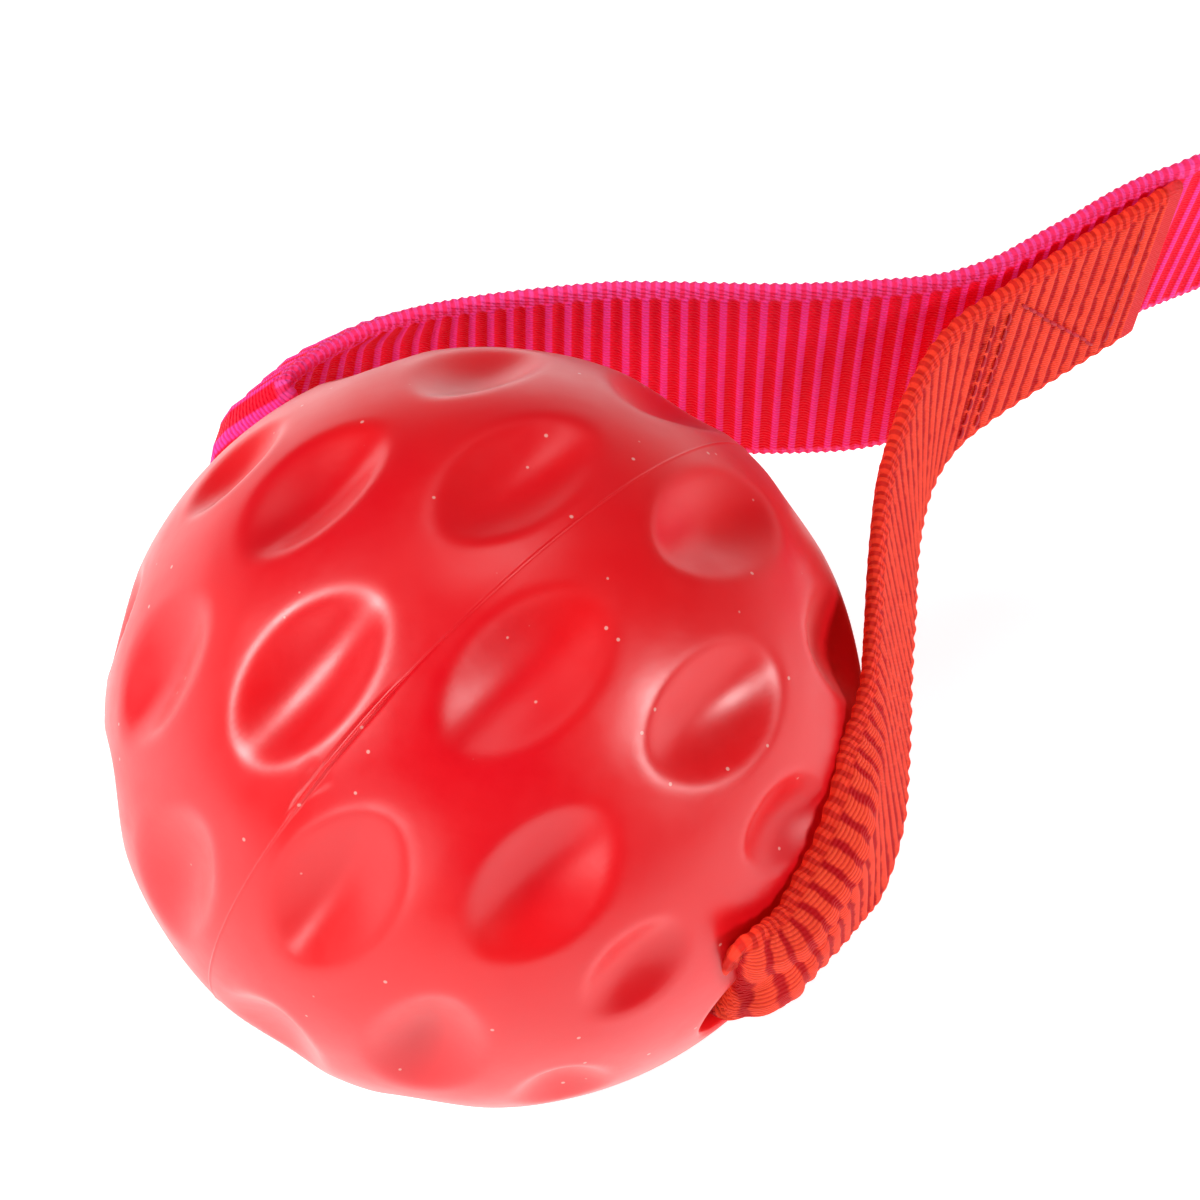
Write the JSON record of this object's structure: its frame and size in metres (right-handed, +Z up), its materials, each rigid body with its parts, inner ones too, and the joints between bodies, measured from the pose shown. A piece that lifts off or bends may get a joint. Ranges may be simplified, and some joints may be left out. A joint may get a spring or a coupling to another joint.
{
  "type": "ball on a webbing strap",
  "caption": "Dimpled solid rubber ball threaded on a two-colour flat webbing strap that is box-stitched and ends in a hand loop.",
  "frame": {"origin": "the point where the ball rests on the table, straight below the ball's centre", "axes": "+Z up; +X to the right and +Y away, with the bore through the ball running from back left to front right and the strap lying off to the right and back"},
  "size_m": [0.2361, 0.1569, 0.065],
  "materials": {
    "ball_rubber": "satin",
    "orange_webbing": "woven nylon",
    "pink_webbing": "woven nylon",
    "thread": "matte thread"
  },
  "bodies": {
    "strap": {"short_strap": "orange_webbing", "long_strap": "pink_webbing", "seam_stitching": "thread", "lap_stitching": "thread"},
    "ball": {"ball": "ball_rubber"},
    "handle": {"handle_strap": "pink_webbing", "handle_stitching": "thread"}
  },
  "joints": [
    {"name": "ball_spin", "type": "hinge", "parent": "strap", "child": "ball", "pos_m": [0, 0, 0.0325], "axis": [0.7075, -0.6929, -0.1392], "continuous": true},
    {"name": "handle_flex", "type": "hinge", "parent": "strap", "child": "handle", "pos_m": [0.06175, 0.05271, 0.0293], "axis": [0, 0, 1], "range_deg": [-60, 60]}
  ]
}
